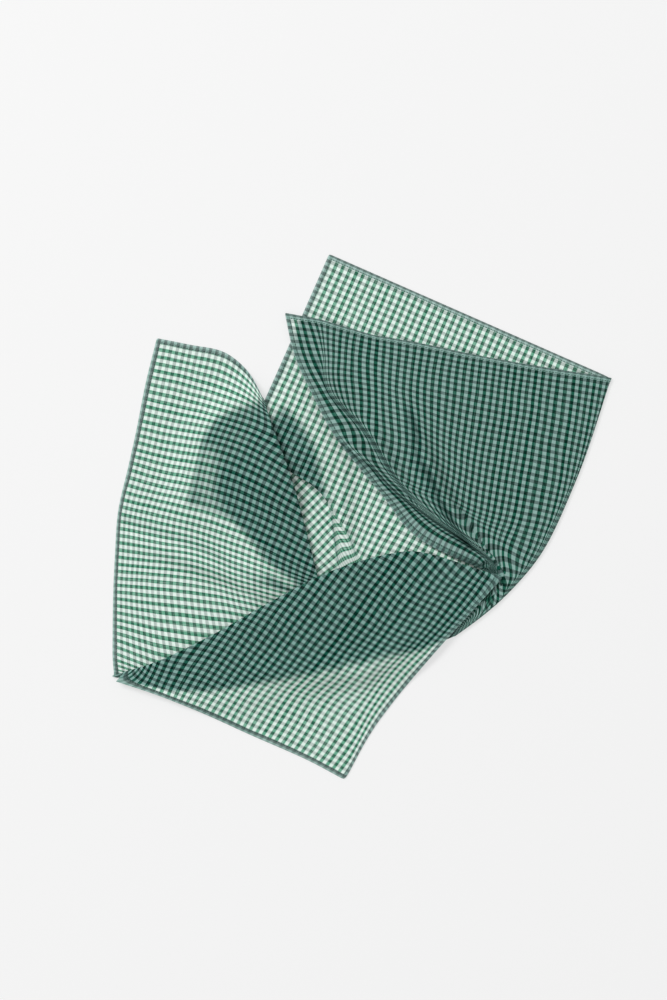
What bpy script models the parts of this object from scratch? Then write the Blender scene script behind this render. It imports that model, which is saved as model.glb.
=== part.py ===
"""A folded bandana: one hemmed square of gingham cotton voile, lying flat in soft, uneven folds.

The square's corners are A, B, C and D, and its sides are hemmed. A point of the cloth is named by s,
its distance from the AB hem, and t, its distance from the AD hem. The cloth lies in three layers:
a lower one from the AB hem to the long main fold, an upper one that comes back over it, and a flap,
the D corner turned down over the main fold. A tuck and two pleats run through the lower layer.
"""

import math

import bmesh
import bpy
import numpy as np

MM = 0.001

# Driving sizes, in mm
SIDE = 560.0  # the square as it is cut and hemmed
CLOTH = 1.0  # the solid's thickness
LAYER = 2.8  # from the middle of one layer to the middle of the next
FOLD_REACH = 2.0  # how far the round edge of a fold stands out past its two layers
FOLD_STEPS = (-30, 30)  # degrees round a fold's edge, where its inner points lie
CLEAR_REACH = 16.0  # how far around a lower layer's edge the next layer starts to climb
SOFTENING = 12.0  # how far the climb is smoothed

# The right-hand face lies flat and unstretched: its B corner, and its turn on the surface
B_CORNER = (-27.8, 230.1)
B_TURN = math.radians(23.74)

# Each station below is (s, t, x, y): its place on the flat cloth, and where it lies seen from above,
# from the middle of the folded outline, in mm.

# The lower layer. Rows follow lines of the cloth from the AB hem to the main fold, and the columns
# are its folds, with the middles of wide faces between them.
LOWER_COLUMNS = ("AD hem", "left 1", "left 2", "left 3", "fold 3", "fold 4", "middle", "fold 5", "fold 6",
                 "right 1", "right 2", "right 3", "BC hem")
LOWER_ROWS = (0, 44, 79, 114, 151, 184, 215, 280)
LOWER = (
    ((0, 0, -178.5, 156.5), (0, 23.5, -156.5, 152), (0, 45.5, -135.5, 148), (0, 63, -118, 143.5),
     (0, 75, -107.5, 136.5), (0, 212.5, -151, 11.5), (0, 273, -108.5, 54), (0, 334, -65.5, 97),
     (0, 382.5, -99.5, 67.5)),
    ((44, 0, -189, 114), (44, 39.5, -150.5, 105), (44, 70, -124, 97), (44, 96, -100.5, 90),
     (44, 118, -77.5, 80.5), (39.5, 229, -112, -4.5), (42, 278, -75, 28), (44, 326.5, -40, 61),
     (41, 373, -65.5, 42)),
    ((79, 0, -196, 78), (79, 44, -156.5, 69), (79, 79, -128.5, 65), (79, 114, -95, 52.5),
     (79, 149, -60, 32.5), (72, 226, -91, -30), (75, 264, -61, -5), (79, 302, -30.5, 18.5),
     (78, 366, -35, 21)),
    ((114, 0, -203.5, 44), (114, 44, -166, 34), (114, 83, -134.5, 28), (114, 129.5, -91.5, 12),
     (114, 173, -48, -11.5), (98, 213.5, -82, -58), (105, 250, -50.5, -36), (107, 287, -23.5, -11.5),
     (114.5, 342, -10.5, -16)),
    ((153, 0, -212.5, 4.5), (153, 44, -178.5, -3.5), (153, 83, -143.5, -12), (153, 131, -102, -25.5),
     (150.5, 194, -37.5, -52.5), (131, 215, -63, -65.5), (138, 238, -37.5, -61), (140, 262.5, -17.5, -52.5),
     (147, 322, 6.5, -46.5)),
    ((188, 0, -215, -30.5), (188, 44, -180, -35), (188, 83, -143.5, -40), (188, 131, -104, -53.5),
     (179.5, 199.5, -33, -66.5), (171.5, 210, -48, -72.5), (175, 233, -21.5, -72.5), (177, 259, 3.5, -73.5),
     (182, 308, 38.5, -65.5)),
    ((219, 0, -216.5, -61), (219, 44, -182, -64), (219, 83, -144, -68), (219, 131, -100.5, -76),
     (212.5, 194, -46, -88.5), (210, 210, -27, -89), (211, 231, -6, -87.5), (212.5, 258, 24.5, -84),
     (216, 299, 60.5, -81.5)),
    ((302, 0, -217.5, -139), (293, 48, -168.5, -151.5), (287, 86, -129.5, -152), (278, 134, -79.5, -144.5),
     (268.5, 185.5, -27, -134), (265, 205.5, -7, -129.5), (261.5, 228.5, 17, -124),
     (255.5, 262.5, 52.5, -116.5), (250, 293, 82.5, -104)),
)
# The right-hand face in the same rows: only (s, t), because it lies flat
RIGHT = (
    ((0, 420), (0, 466.5), (0, 513), (0, 560)),
    ((44, 411), (44, 461), (44, 510), (44, 560)),
    ((79, 401), (79, 453), (79, 506.5), (79, 560)),
    ((114, 385), (114, 443), (114, 501.5), (114, 560)),
    ((153, 360.5), (153, 427), (153, 493.5), (153, 560)),
    ((188, 347.5), (188, 418), (188, 489), (188, 560)),
    ((219, 332.5), (226, 404), (229, 481), (229, 560)),
    ((246, 316), (273, 381.5), (277.5, 464), (269.5, 560)),
)
# Quads from each row to the next, and the faces of the lower layer from left to right
LOWER_STEPS = (3, 3, 3, 3, 3, 4, 3)
FACES = {
    "left": (("AD hem", "left 1", "left 2", "left 3", "fold 3"), (3, 3, 3, 2)),
    "tuck": (("fold 3", "fold 4"), (3,)),
    "middle": (("fold 4", "middle", "fold 5"), (3, 3)),
    "pleat": (("fold 5", "fold 6"), (2,)),
    "right": (("fold 6", "right 1", "right 2", "right 3", "BC hem"), (2, 4, 4, 4)),
}
LAYING_ORDER = ("middle", "pleat", "right", "tuck", "left")
# The tuck and the pleat open out before they reach the main fold: s where each begins to, and s where
# it is flat
OPENS = {"tuck": (194, 262), "left": (194, 262), "pleat": (83, 110), "right": (83, 110)}

# The upper layer. A row starts at the main fold, at the t that is its key, and runs to the CD hem, or
# to the edge fold where the D corner turns down. Where only the end is given, the stations between lie
# evenly.
UPPER_STEPS = (3, 2, 1, 1, 1, 1, 2, 2)
PINCH = 316  # t on the main fold where the edge fold ends and the CD hem begins
UPPER = {
    560: ((337, 560, 154, 132), (394, 560, 99, 142), (429, 560, 64, 149.5), (450.5, 560, 41.5, 154),
          (464, 560, 26.5, 156.5), (479.5, 560, 10.5, 159), (525, 560, -34, 172.5), (560, 560, -66.5, 178.5)),
    525: ((332.5, 525, 154.5, 101.5), (389.5, 525, 100, 113), (429, 525, 59, 121.5), (450.5, 525, 38, 126),
          (464, 525, 24.5, 129.5), (479.5, 525, 9, 134), (520.5, 525, -30.5, 141), (560, 525, -58.5, 142)),
    490: ((332.5, 490, 149.5, 67), (389.5, 490, 95.5, 79), (429, 490, 58, 91), (450.5, 490, 38, 98),
          (468, 490, 20.5, 103), (483, 490, 6.5, 106), (518, 490, -27, 109.5), (560, 490, -42.5, 107)),
    455: ((332.5, 455, 144, 32.5), (389.5, 455, 91, 46.5), (424.5, 455, 62.5, 59.5), (437.5, 455, 52, 64),
          (464, 455, 26.5, 71), (479.5, 455, 9, 76), (512, 455, -13, 75), (560, 455, -21.5, 73.5)),
    420: ((332.5, 420, 137.5, -2), (385, 420, 91, 12), (404, 422.5, 75.5, 22), (416.5, 424.5, 66, 28),
          (441, 423.5, 45, 33), (461, 422.5, 26.5, 40), (535.5, 422, 8, 45.5), (560, 420, 0, 42)),
    381.5: ((332.5, 385, 128, -30.5), (372, 395.5, 100, -8), (386, 404, 87.5, 2.5), (400, 407, 78, 8),
            (422.5, 402.5, 60.5, 13), (442, 398, 45.5, 17.5), (537, 385, 31.5, 20), (560, 382.5, 21, 16)),
    359: ((339.5, 367.5, 125.5, -46.5), (363, 385, 112, -33), (376, 392, 101, -19), (387, 395.5, 93, -16),
          (407, 389.5, 83.5, -12), (429, 380.5, 75.5, -9.5), (537, 348, 66, -4.5), (560, 332.5, 47.5, -17.5)),
    339.5: ((337, 350, 129.5, -64), (352, 363, 130.5, -52.5), (366, 372, 126, -43), (376, 374.5, 120, -37),
            (402.5, 363, 114, -33), (429, 350, 108.5, -30.5), (535.5, 302, 102.5, -30),
            (560, 284.5, 88.5, -38.5)),
    326.5: ((315, 331, 121, -75), (343, 332.5, 127, -65.5), (366.5, 332.5, 129.5, -57),
            (389.5, 330, 129.5, -51), (420, 317, 128, -46.5), (450.5, 304.5, 125.5, -44),
            (530, 275.5, 121, -42), (560, 258, 111.5, -46.5)),
    PINCH: ((293, 310.5, 107, -83), (332.5, 302, 111.5, -75), (367.5, 293, 115, -69),
            (402.5, 284.5, 117, -65), (437.5, 274, 119, -61), (472.5, 265, 120, -58.5),
            (525, 252, 121, -55), (560, 241.5, 122, -51.5)),
    293: ((525, 232, 89.5, -41),),
    262.5: ((490, 219, 52, -30.5),),
    228.5: ((468, 205, 23, -32.5),),
    185.5: ((437.5, 166, -26, -47),),
    134: ((408.5, 118, -81, -75),),
    86: ((385, 70, -130, -103),),
    48: ((366, 39.5, -171.5, -123.5),),
    0: ((325.5, 0, -206.5, -135.5),),
}

# The flap, in rows from the edge fold to the CD hem as far as the D corner, and then to the AD hem
FLAP_STEPS = (2, 2, 2, 2, 1, 1)
D_CORNER = 228.5  # the row that ends at the D corner
FLAP = {
    PINCH: ((560, 240, 120.5, -53.5), (560, 238, 119, -55.5), (560, 236, 118, -58), (560, 234.5, 116.5, -60),
            (560, 232, 115, -62), (560, 229, 113, -64.5)),
    293: ((528.5, 221.5, 84, -53.5), (535.5, 205.5, 81.5, -67.5), (542.5, 188, 77, -85),
          (549.5, 170.5, 71, -100.5), (555.5, 155, 66, -112), (560, 144.5, 63, -120)),
    262.5: ((498, 199.5, 45, -53.5), (511, 171.5, 39.5, -84), (525, 140, 35, -113),
            (539, 108.5, 27.5, -135.5), (551, 79.5, 20.5, -160), (560, 61, 15, -179.5)),
    D_CORNER: ((478.5, 179.5, 17, -58.5), (495, 142.5, 9, -99), (513.5, 102.5, 3, -134),
               (532, 61, -3.5, -168), (548.5, 24.5, -9.5, -205.5), (560, 0, -14, -230)),
    185.5: ((447, 146, -30.5, -70), (462, 116.5, -35.5, -103), (478.5, 83, -40, -135.5),
            (495, 50, -43.5, -160), (510, 19, -46, -192.5), (520.5, 0, -48, -212)),
    134: ((415, 103, -84, -88.5), (424.5, 82, -87.5, -111), (436, 58.5, -91.5, -135), (447, 35, -94.5, -155),
          (457, 14, -97, -175), (464, 0, -98, -190)),
    86: ((415.5, 0, -140.5, -170.5),),
    48: ((376, 0, -175, -156.5),),
    0: ((343, 0, -214, -143.5),),
}

# Soft ridges where the cloth stands up: the piece of cloth, its reach to each side, and points (x, y,
# height)
RIDGES = (
    ("left", 15, ((-203.5, -13, 0), (-171.5, -27, 6), (-130, -43, 9), (-86.5, -60.5, 4))),
    ("right", 9, ((-62, 54, 5), (-14, 51, 3))),
    ("right", 6, ((-14, 51, 3), (-12, -2.5, 5), (-8, -34, 1))),
    ("upper", 13, ((38, 126, 1), (38, 98, 2), (52, 64, 6), (66, 28, 8), (78, 8, 9), (93, -16, 6),
                   (114, -33, 1))),
    ("upper", 11, ((6.5, 106, 1), (9, 76, 4), (26.5, 40, 4), (45.5, 17.5, 3), (75.5, -9.5, 2))),
    ("upper", 9, ((-30.5, 141, 1), (-27, 109.5, 4), (-13, 75, 3), (8, 45.5, 5), (31.5, 20, 6), (66, -4.5, 4),
                  (92, -26, 1))),
    ("flap", 17, ((35, -113, 3), (3, -134, 6), (-40, -135.5, 6), (-91.5, -135, 3))),
)

# Tight ends of folds, where the surface is eased: (x, y, reach). Those of the tuck and the pleat are in
# the lower layer alone.
TUCK_ENDS = ((-39, -76, 23), (-29, 13, 14))
NECK_ENDS = ((122, -46, 40), (104, -88, 23))
EASING_ROUNDS = 6

# The height grid on which the layers are laid, in metres
CELL = 2 * MM
GRID_CORNER = (-0.26, -0.27)
GRID_CELLS = (260, 270)


def smooth_line(knots, values, at):
    """A smooth line through stations at uneven knots. Its s and t never run past a station's own."""
    step = np.diff(knots)[:, None]
    slope = np.diff(values, axis=0) / step
    before = slope[:-1]
    after = slope[1:]
    tangent = np.empty_like(values)
    tangent[0] = slope[0]
    tangent[-1] = slope[-1]
    tangent[1:-1] = (before * step[1:] + after * step[:-1]) / (step[1:] + step[:-1])
    rising = before * after > 0
    steady = np.where(rising, 2 * before * after / np.where(rising, before + after, 1), 0)
    tangent[1:-1, :2] = steady[:, :2]
    i = np.clip(np.searchsorted(knots, at, side="right") - 1, 0, len(knots) - 2)
    u = ((at - knots[i]) / step[i, 0])[:, None]
    start = (2 * u**3 - 3 * u**2 + 1) * values[i] + (u**3 - 2 * u**2 + u) * step[i] * tangent[i]
    end = (3 * u**2 - 2 * u**3) * values[i + 1] + (u**3 - u**2) * step[i] * tangent[i + 1]
    return start + end


def smooth_parts(knots, values, at, corner):
    """smooth_line in two parts, with a corner kept sharp where they meet."""
    out = np.empty((len(at), values.shape[1]))
    for part, wanted in ((knots <= corner, at <= corner), (knots >= corner, at > corner)):
        out[wanted] = smooth_line(knots[part], values[part], at[wanted])
    return out


def divide(knots, counts):
    """The knots, with each span between them divided evenly into its count."""
    spans = [np.linspace(a, b, n, endpoint=False) for a, b, n in zip(knots[:-1], knots[1:], counts)]
    return np.append(np.concatenate(spans), knots[-1])


def across(row, counts, folded_start, folded_end):
    """Points along one row of stations, drawn in at each end that goes round a fold."""
    knots = np.arange(len(row), dtype=float)
    length = np.append(0, np.cumsum(np.hypot(*np.diff(row[:, 2:4], axis=0).T)))
    reach = min(FOLD_REACH * MM, 0.25 * length[-1])
    start = reach * folded_start
    along = np.interp(divide(knots, counts), knots, length)
    along = start + along * (length[-1] - start - reach * folded_end) / length[-1]
    at = np.interp(along, length, knots)
    if len(row) == 2:
        return row[0] + (row[1] - row[0]) * at[:, None]
    return smooth_line(knots, row, at)


def in_metres(rows):
    return np.array(rows, float) * MM


def stations(table, edge, counts):
    """A table's rows as points in metres. A row with one station is filled evenly from the edge."""
    keys = np.array(sorted(table), float)
    rows = []
    for key in sorted(table):
        given = in_metres(table[key])
        if len(given) == 1:
            u = (np.arange(len(counts)) + 1)[:, None] / len(counts)
            given = edge(key) * (1 - u) + given * u
        rows.append(given)
    return keys * MM, np.array(rows)


def flat_right(s, t):
    """Where the right-hand face's point (s, t) lies."""
    down = SIDE - t
    x = B_CORNER[0] + s * math.cos(B_TURN) - down * math.sin(B_TURN)
    y = B_CORNER[1] - s * math.sin(B_TURN) - down * math.cos(B_TURN)
    return (s, t, x, y)


def spread(grid, reach, combine):
    """Combines each cell of a height grid with its neighbours within reach."""
    n = round(reach * MM / CELL / 2)
    moved = [
        np.roll(grid, (dy, dx), (0, 1))
        for dy in range(-n, n + 1)
        for dx in range(-n, n + 1)
        if dx * dx + dy * dy <= n * n + 1
    ]
    return combine(np.array(moved), axis=0)


def read_grid(grid, x, y):
    """A height grid's value between its cells."""
    fx = np.clip((x - GRID_CORNER[0]) / CELL, 0, GRID_CELLS[0] - 1.001)
    fy = np.clip((y - GRID_CORNER[1]) / CELL, 0, GRID_CELLS[1] - 1.001)
    ix = fx.astype(int)
    iy = fy.astype(int)
    near = grid[iy, ix] * (1 - fx + ix) + grid[iy, ix + 1] * (fx - ix)
    far = grid[iy + 1, ix] * (1 - fx + ix) + grid[iy + 1, ix + 1] * (fx - ix)
    return near * (1 - fy + iy) + far * (fy - iy)


def ridge_height(piece, x, y):
    """How far the ridges of one piece of cloth lift it."""
    lift = np.zeros_like(x)
    for name, reach, points in RIDGES:
        if name != piece:
            continue
        p = in_metres(points)
        for start, run in zip(p[:-1], np.diff(p, axis=0)):
            u = ((x - start[0]) * run[0] + (y - start[1]) * run[1]) / (run[:2] @ run[:2])
            u = np.clip(u, 0, 1)
            away = np.hypot(x - start[0] - u * run[0], y - start[1] - u * run[1])
            bump = np.cos(np.clip(away / (reach * MM), 0, 1) * math.pi / 2) ** 2
            lift = np.maximum(lift, (start[2] + run[2] * u) * bump)
    return lift


def lay(pile, points, piece, opening=1):
    """Lays a piece of cloth on the pile: gives its points heights, and raises the pile by them."""
    base = np.where(pile < 0, CLOTH / 2 * MM, pile + LAYER * MM)
    base = spread(spread(base, CLEAR_REACH * 2, np.max), SOFTENING * 2, np.mean)
    floor = CLOTH / 2 * MM
    x = points[..., 2]
    y = points[..., 3]
    z = floor + (read_grid(base, x, y) - floor) * opening + ridge_height(piece, x, y)
    fine = np.stack([x, y, z], axis=-1)
    for _ in range(3):
        fine = np.repeat(fine, 2, axis=0)[:-1]
        fine[1::2] = (fine[0:-1:2] + fine[2::2]) / 2
        fine = np.repeat(fine, 2, axis=1)[:, :-1]
        fine[:, 1::2] = (fine[:, 0:-1:2] + fine[:, 2::2]) / 2
    ix = np.round((fine[..., 0] - GRID_CORNER[0]) / CELL).astype(int)
    iy = np.round((fine[..., 1] - GRID_CORNER[1]) / CELL).astype(int)
    np.maximum.at(pile, (iy, ix), fine[..., 2])
    return np.concatenate([points[..., :4], z[..., None]], axis=-1)


def fold(under, over, edge):
    """The points round a fold's edge, between the two layers that it joins."""
    out = []
    for angle in np.radians(FOLD_STEPS):
        near = under if angle < 0 else over
        over_share = (1 + math.sin(angle)) / 2
        point = edge[:, :4] + (near[:, :4] - edge[:, :4]) * (1 - math.cos(angle))
        height = under[:, 4] * (1 - over_share) + over[:, 4] * over_share
        out.append(np.column_stack([point, height]))
    return np.stack(out, axis=1)


def near_ends(grid, ends):
    """How strongly each point is eased: fully close to one of the ends, and not at all past its reach."""
    weight = np.zeros(grid.shape[:2])
    for x, y, reach in ends:
        away = np.hypot(grid[..., 2] - x * MM, grid[..., 3] - y * MM) / (reach * MM)
        weight = np.maximum(weight, np.clip(1.4 - 1.4 * away, 0, 1) / 2)
    return weight


def ease(grid, weight):
    """Evens out the surface by its weight."""
    weight = weight[..., None]
    for _ in range(EASING_ROUNDS):
        near = grid.copy()
        inner = grid[:-2, 1:-1] + grid[2:, 1:-1] + grid[1:-1, :-2] + grid[1:-1, 2:]
        near[1:-1, 1:-1] = inner / 4
        for side in (0, -1):
            near[side, 1:-1] = (grid[side, :-2] + grid[side, 2:]) / 2
            near[1:-1, side] = (grid[:-2, side] + grid[2:, side]) / 2
        grid = grid + weight * (near - grid) * (0, 0, 1, 1, 1)
    return grid


def lower_layer(pile):
    """The lower layer as one grid, and the edge line of the main fold."""
    rows = []
    for left, right in zip(LOWER, RIGHT):
        rows.append(left + tuple(flat_right(s, t) for s, t in right))
    table = in_metres(rows)
    rows_at = divide(np.array(LOWER_ROWS, float), LOWER_STEPS)
    knots = np.array(LOWER_ROWS, float)
    dense = np.stack([smooth_line(knots, table[:, c], rows_at) for c in range(len(LOWER_COLUMNS))], axis=1)
    names = list(FACES)
    faces = {}
    for name in LAYING_ORDER:
        columns, counts = FACES[name]
        picked = dense[:, [LOWER_COLUMNS.index(c) for c in columns]]
        folded = (name != names[0], name != names[-1])
        points = np.array([across(row, counts, *folded) for row in picked])
        opening = np.interp(rows_at, OPENS[name], (1, 0)) if name in OPENS else np.ones(len(rows_at))
        faces[name] = lay(pile, points, name, opening[:, None])
    strips = [faces[names[0]]]
    for before, after in zip(names[:-1], names[1:]):
        edge = dense[:, LOWER_COLUMNS.index(FACES[after][0][0])]
        strips += [fold(faces[before][:, -1], faces[after][:, 0], edge), faces[after]]
    return np.concatenate(strips, axis=1)


def rows_along(table, edge_line, edge_key, counts, corner):
    """A table's rows, made as dense as the line of points that they start from."""
    def edge(key):
        return np.array([np.interp(key * MM, edge_key, edge_line[:, k]) for k in range(4)])

    keys, values = stations(table, edge, counts)
    inner = [smooth_parts(keys, values[:, c], edge_key, corner * MM) for c in range(values.shape[1])]
    return np.stack([edge_line[:, :4]] + inner, axis=1)


def bandana_points():
    """The middle surface of the cloth: the lower and upper layers as one grid, and the flap."""
    pile = np.full((GRID_CELLS[1], GRID_CELLS[0]), -1.0)
    lower = lower_layer(pile)
    main = lower[-1].copy()
    key = main[:, 1]
    pinch = np.searchsorted(key, PINCH * MM - 1e-9)
    rows = rows_along(UPPER, main, key, UPPER_STEPS, PINCH)
    drawn = [across(row, UPPER_STEPS, True, i <= pinch) for i, row in enumerate(rows)]
    upper = lay(pile, np.array(drawn), "upper")
    edge = rows[:pinch + 1, -1]
    flap_rows = rows_along(FLAP, edge, key[:pinch + 1], FLAP_STEPS, D_CORNER)
    flap = lay(pile, np.array([across(row, FLAP_STEPS, True, False) for row in flap_rows]), "flap")
    lower[-1, :, :4] = upper[:, 0, :4]
    layers = np.concatenate([lower, fold(lower[-1], upper[:, 0], main).transpose(1, 0, 2),
                             upper.transpose(1, 0, 2)])
    weight = near_ends(layers, NECK_ENDS)
    weight[:len(lower)] = np.maximum(weight[:len(lower)], near_ends(lower, TUCK_ENDS))
    layers = ease(layers, weight)
    upper_edge = layers[-1, :pinch + 1]
    turned = np.concatenate([upper_edge[:, None], fold(upper_edge, flap[:, 0], edge), flap], axis=1)
    turned = turned.transpose(1, 0, 2)
    weight = near_ends(turned, NECK_ENDS)
    weight[0] = 0
    return layers, ease(turned, weight)


def add_grid(bm, points):
    """A grid of quads with its corners at the points."""
    rows, columns = points.shape[:2]
    grid = bmesh.ops.create_grid(bm, x_segments=columns - 1, y_segments=rows - 1, size=1)
    for vert, point in zip(grid["verts"], points.reshape(-1, points.shape[-1])):
        vert.co = point[2:5]


def bandana():
    """The cloth as one solid, standing on z = 0 with its outline's middle at the origin."""
    bm = bmesh.new()
    for points in bandana_points():
        add_grid(bm, points)
    bmesh.ops.remove_doubles(bm, verts=bm.verts, dist=1e-7)
    bmesh.ops.recalc_face_normals(bm, faces=bm.faces)
    mesh = bpy.data.meshes.new("bandana")
    bm.to_mesh(mesh)
    bm.free()
    mesh.shade_smooth()
    piece = bpy.data.objects.new("bandana", mesh)
    bpy.context.collection.objects.link(piece)
    cloth = piece.modifiers.new("cloth", "SOLIDIFY")
    cloth.thickness = CLOTH * MM
    cloth.offset = 0
    bpy.context.view_layer.update()
    shape = piece.evaluated_get(bpy.context.evaluated_depsgraph_get()).to_mesh()
    corners = np.array([v.co for v in shape.vertices])
    middle = (corners.min(axis=0) + corners.max(axis=0)) / 2
    piece.location = (-middle[0], -middle[1], -corners[:, 2].min())
    return piece


def gingham_voile():
    """Green and white checked cotton, seen as one even colour."""
    material = bpy.data.materials.new("gingham voile")
    material.use_nodes = True
    shader = material.node_tree.nodes["Principled BSDF"]
    shader.inputs["Base Color"].default_value = (0.29, 0.47, 0.38, 1)
    shader.inputs["Roughness"].default_value = 0.9
    shader.inputs["Metallic"].default_value = 0
    return material


for old in list(bpy.data.objects):
    bpy.data.objects.remove(old)
bandana().data.materials.append(gingham_voile())
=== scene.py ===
"""The folded bandana as it looks: sheer green and white gingham on a pale floor, seen from above."""
import math

import bmesh
import bpy
import numpy as np
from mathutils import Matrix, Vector
from mathutils.bvhtree import BVHTree


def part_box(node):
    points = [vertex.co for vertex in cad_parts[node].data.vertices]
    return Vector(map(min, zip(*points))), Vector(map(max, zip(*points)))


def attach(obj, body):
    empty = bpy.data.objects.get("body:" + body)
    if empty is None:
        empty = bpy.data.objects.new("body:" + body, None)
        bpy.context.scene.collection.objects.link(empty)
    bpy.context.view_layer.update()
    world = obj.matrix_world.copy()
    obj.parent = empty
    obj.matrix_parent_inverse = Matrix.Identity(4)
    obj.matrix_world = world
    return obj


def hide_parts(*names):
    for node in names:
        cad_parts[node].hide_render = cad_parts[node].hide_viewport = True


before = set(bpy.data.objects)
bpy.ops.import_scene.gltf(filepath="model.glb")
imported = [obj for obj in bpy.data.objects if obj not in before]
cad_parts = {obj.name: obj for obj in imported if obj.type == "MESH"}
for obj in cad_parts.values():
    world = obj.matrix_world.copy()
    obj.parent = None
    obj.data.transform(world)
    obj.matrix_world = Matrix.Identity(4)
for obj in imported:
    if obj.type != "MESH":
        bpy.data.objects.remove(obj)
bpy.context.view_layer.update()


# The cloth
# One square of cotton voile, 0.56 m a side, woven in green and white check and hemmed by machine. It
# is folded by hand over its long main fold, its D corner is turned down over that, and a tuck and a
# pleat are let into its lower layer.
MM = 0.001

SIDE = 560.0  # the square as it is cut and hemmed
CLOTH = 1.0  # the solid's thickness
LAYER = 2.8  # from the middle of one layer to the middle of the next
FOLD_REACH = 2.0  # how far the round edge of a fold stands out past its two layers
FOLD_STEPS = (-52, -18, 18, 52)  # degrees round a fold's edge, where its inner points lie
CLEAR_REACH = 16.0  # how far around a lower layer's edge the next layer starts to climb
SOFTENING = 12.0  # how far the climb is smoothed

# The right-hand face lies flat and unstretched: its B corner, and its turn on the surface
B_CORNER = (-27.8, 230.1)
B_TURN = math.radians(23.74)

# Each station below is (s, t, x, y): its place on the flat cloth, and where it lies seen from above,
# from the middle of the folded outline, in mm.

# The lower layer. Rows follow lines of the cloth from the AB hem to the main fold, and the columns
# are its folds, with the middles of wide faces between them.
LOWER_COLUMNS = ("AD hem", "left 1", "left 2", "left 3", "fold 3", "tuck", "fold 4", "middle",
                 "fold 5", "pleat 1", "pleat 2", "fold 6", "right 1", "right 2", "right 3", "BC hem")
LOWER_ROWS = (0, 44, 79, 114, 151, 184, 215, 280)
LOWER = (
    ((0, 0, -178.5, 156.5), (0, 30, -150, 150.8), (0, 63, -118, 143.5), (0, 88, -98.5, 127),
     (0, 116, -85, 103), (0, 160, -130, 84), (0, 212.5, -151, 11.5), (0, 273, -108.5, 54),
     (0, 334, -65.5, 97), (0, 350, -77, 87.2), (0, 366.5, -88, 77.3), (0, 382.5, -99.5, 67.5)),
    ((44, 0, -189, 114), (44, 39.5, -150.5, 105), (44, 70, -124, 97), (44, 96, -100.5, 90),
     (44, 118, -77.5, 80.5), (41.5, 173.5, -97, 41), (39.5, 229, -112, -4.5), (42, 278, -75, 28),
     (44, 326.5, -40, 61), (43, 342, -48.5, 54.7), (42, 357.5, -57, 48.3), (41, 373, -65.5, 42)),
    ((79, 0, -196, 78), (79, 44, -156.5, 69), (79, 79, -128.5, 65), (79, 114, -95, 52.5),
     (79, 149, -60, 32.5), (75.5, 187.5, -75.5, 1.3), (72, 226, -91, -30), (75, 264, -61, -5),
     (79, 302, -30.5, 18.5), (79, 322, -32, 19.3), (78, 345, -33.5, 20.2), (78, 366, -35, 21)),
    ((114, 0, -203.5, 44), (114, 44, -166, 34), (114, 83, -134.5, 28), (114, 129.5, -91.5, 12),
     (114, 173, -48, -11.5), (106, 193, -65, -34.8), (98, 213.5, -82, -58), (105, 250, -50.5, -36),
     (107, 287, -23.5, -11.5), (109, 306, -21.5, -12.2), (112, 315.5, -13, -15.2),
     (114.5, 342, -10.5, -16)),
    ((153, 0, -212.5, 4.5), (153, 44, -178.5, -3.5), (153, 83, -143.5, -12),
     (153, 131, -102, -25.5), (150.5, 194, -37.5, -52.5), (141, 204.5, -50.3, -59),
     (131, 215, -63, -65.5), (138, 238, -37.5, -61), (140, 262.5, -17.5, -52.5),
     (142.5, 280, -10, -50.5), (145, 302, -1.5, -48.5), (147, 322, 6.5, -46.5)),
    ((188, 0, -215, -30.5), (188, 44, -180, -35), (188, 83, -143.5, -40), (188, 131, -104, -53.5),
     (179.5, 199.5, -33, -66.5), (175.5, 204.8, -40.5, -69.5), (171.5, 210, -48, -72.5),
     (175, 233, -21.5, -72.5), (177, 259, 3.5, -73.5), (178.5, 275, 15, -71),
     (180.5, 291.5, 27, -68), (182, 308, 38.5, -65.5)),
    ((219, 0, -216.5, -61), (219, 44, -182, -64), (219, 83, -144, -68), (219, 131, -100.5, -76),
     (212.5, 194, -46, -88.5), (211.3, 202, -36.5, -88.8), (210, 210, -27, -89),
     (211, 231, -6, -87.5), (212.5, 258, 24.5, -84), (213.5, 271.5, 36.5, -83),
     (215, 285, 48.5, -82.3), (216, 299, 60.5, -81.5)),
    ((302, 0, -217.5, -139), (293, 48, -168.5, -151.5), (287, 86, -129.5, -152),
     (278, 134, -79.5, -144.5), (268.5, 185.5, -27, -134), (266.8, 195.5, -17, -131.8),
     (265, 205.5, -7, -129.5), (261.5, 228.5, 17, -124), (255.5, 262.5, 52.5, -116.5),
     (253.5, 272.5, 62.5, -112.5), (252, 283, 72.5, -108), (250, 293, 82.5, -104)),
)
# The right-hand face in the same rows: only (s, t), because it lies flat
RIGHT = (
    ((0, 420), (0, 466.5), (0, 513), (0, 560)),
    ((44, 411), (44, 461), (44, 510), (44, 560)),
    ((79, 401), (79, 453), (79, 506.5), (79, 560)),
    ((114, 385), (114, 443), (114, 501.5), (114, 560)),
    ((153, 360.5), (153, 427), (153, 493.5), (153, 560)),
    ((188, 347.5), (188, 418), (188, 489), (188, 560)),
    ((219, 332.5), (226, 404), (229, 481), (229, 560)),
    ((246, 316), (273, 381.5), (277.5, 464), (269.5, 560)),
)
# Quads from each row to the next, and the faces of the lower layer from left to right
LOWER_STEPS = (6, 6, 6, 6, 6, 8, 6)
FACES = {
    "left": (("AD hem", "left 1", "left 2", "left 3", "fold 3"), (6, 6, 6, 4)),
    "tuck": (("fold 3", "tuck", "fold 4"), (3, 3)),
    "middle": (("fold 4", "middle", "fold 5"), (6, 6)),
    "pleat": (("fold 5", "pleat 1", "pleat 2", "fold 6"), (2, 4, 2)),
    "right": (("fold 6", "right 1", "right 2", "right 3", "BC hem"), (4, 8, 8, 8)),
}
LAYING_ORDER = ("middle", "pleat", "right", "tuck", "left")
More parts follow.
